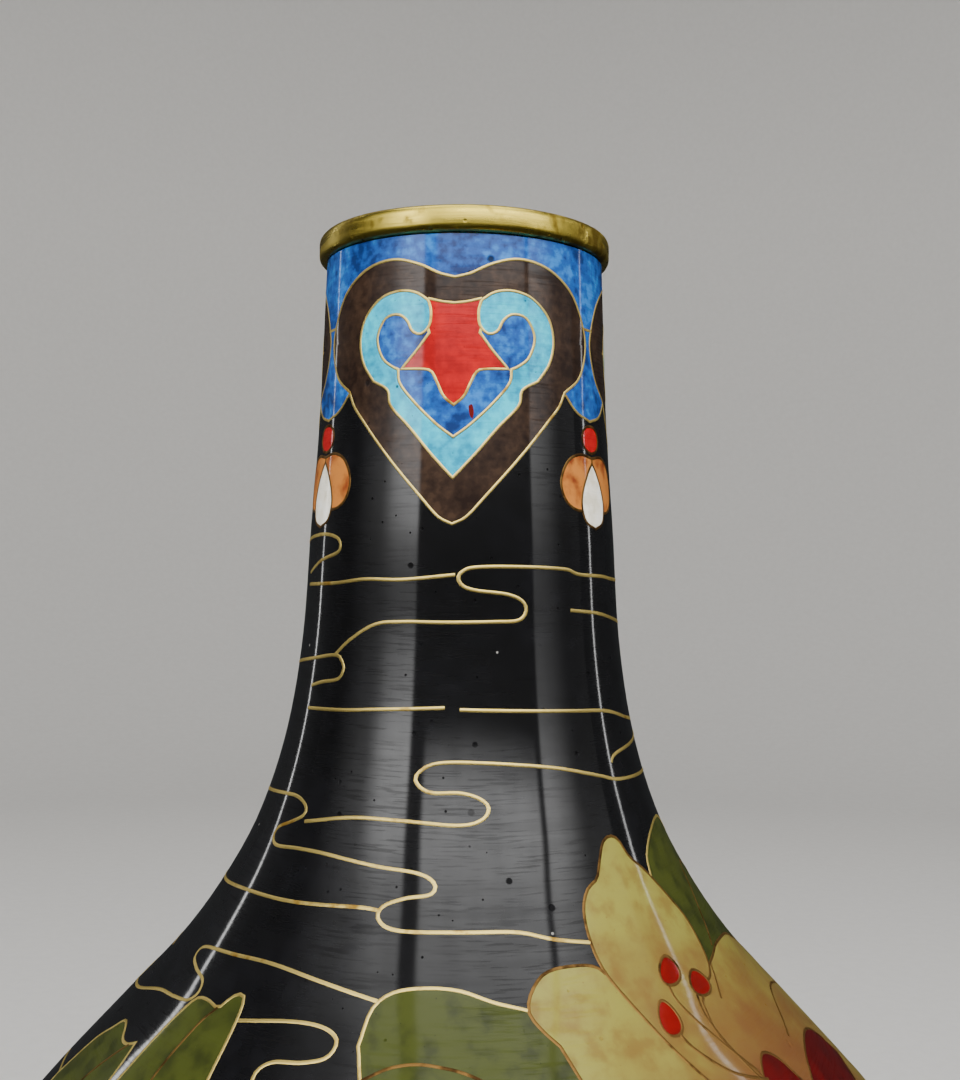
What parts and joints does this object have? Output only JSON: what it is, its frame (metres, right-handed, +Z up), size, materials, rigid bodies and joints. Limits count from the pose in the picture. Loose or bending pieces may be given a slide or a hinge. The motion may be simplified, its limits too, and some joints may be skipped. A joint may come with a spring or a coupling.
{
  "type": "cloisonne vase",
  "caption": "Bottle-shaped cloisonne vase with a round belly and slim neck, black enamel ground, wired lappets, lilies and leaves, brass mouth and foot rings.",
  "frame": {"origin": "on the ground at the middle of the foot", "axes": "+Z is up along the vase's axis, -Y is the front, where the middle of the first lappet faces"},
  "size_m": [0.148, 0.148, 0.24],
  "materials": {
    "copper": "spun copper",
    "brass": "worn",
    "gilt_wire": "polished",
    "black_enamel": "ground smooth and polished",
    "blue_enamel": "gloss",
    "turquoise_enamel": "gloss",
    "brown_enamel": "gloss",
    "red_enamel": "gloss",
    "white_enamel": "gloss",
    "ochre_enamel": "gloss",
    "green_enamel": "gloss",
    "cream_enamel": "gloss"
  },
  "bodies": {
    "root": {"back_leaf_right": "green_enamel", "back_lily_left_petal": "cream_enamel", "back_lily_lower_left_petal": "cream_enamel", "back_lily_lower_right_petal": "cream_enamel", "back_lily_right_petal": "cream_enamel", "back_lily_throat": "red_enamel", "back_lily_top_petal": "cream_enamel", "base_enamel": "blue_enamel", "collar": "blue_enamel", "copper_bowl": "copper", "copper_foot": "copper", "copper_neck": "copper", "copper_upper_body": "copper", "foot_enamel": "turquoise_enamel", "foot_rim": "brass", "front_leaf_left": "green_enamel", "front_leaf_middle": "green_enamel", "front_leaf_right": "green_enamel", "front_lily_left_petal": "cream_enamel", "front_lily_lower_left_petal": "cream_enamel", "front_lily_lower_right_petal": "cream_enamel", "front_lily_right_petal": "cream_enamel", "front_lily_throat": "red_enamel", "front_lily_top_petal": "cream_enamel", "ground": "black_enamel", "lappet_1_band": "brown_enamel", "lappet_1_heart": "red_enamel", "lappet_1_left_eye": "blue_enamel", "lappet_1_right_eye": "blue_enamel", "lappet_1_scroll": "turquoise_enamel", "lappet_1_under_heart": "blue_enamel", "lappet_1_wire": "gilt_wire", "lappet_2_band": "brown_enamel", "lappet_2_heart": "red_enamel", "lappet_2_left_eye": "blue_enamel", "lappet_2_right_eye": "blue_enamel", "lappet_2_scroll": "turquoise_enamel", "lappet_2_under_heart": "blue_enamel", "lappet_2_wire": "gilt_wire", "lappet_3_band": "brown_enamel", "lappet_3_heart": "red_enamel", "lappet_3_left_eye": "blue_enamel", "lappet_3_right_eye": "blue_enamel", "lappet_3_scroll": "turquoise_enamel", "lappet_3_under_heart": "blue_enamel", "lappet_3_wire": "gilt_wire", "lining": "turquoise_enamel", "mouth_ring": "brass", "pendant_1_bead": "red_enamel", "pendant_1_bud": "white_enamel", "pendant_1_left_petal": "ochre_enamel", "pendant_1_right_petal": "ochre_enamel", "pendant_2_bead": "red_enamel", "pendant_2_bud": "white_enamel", "pendant_2_left_petal": "ochre_enamel", "pendant_2_right_petal": "ochre_enamel", "pendant_3_bead": "red_enamel", "pendant_3_bud": "white_enamel", "pendant_3_left_petal": "ochre_enamel", "pendant_3_right_petal": "ochre_enamel"}
  },
  "joints": []
}
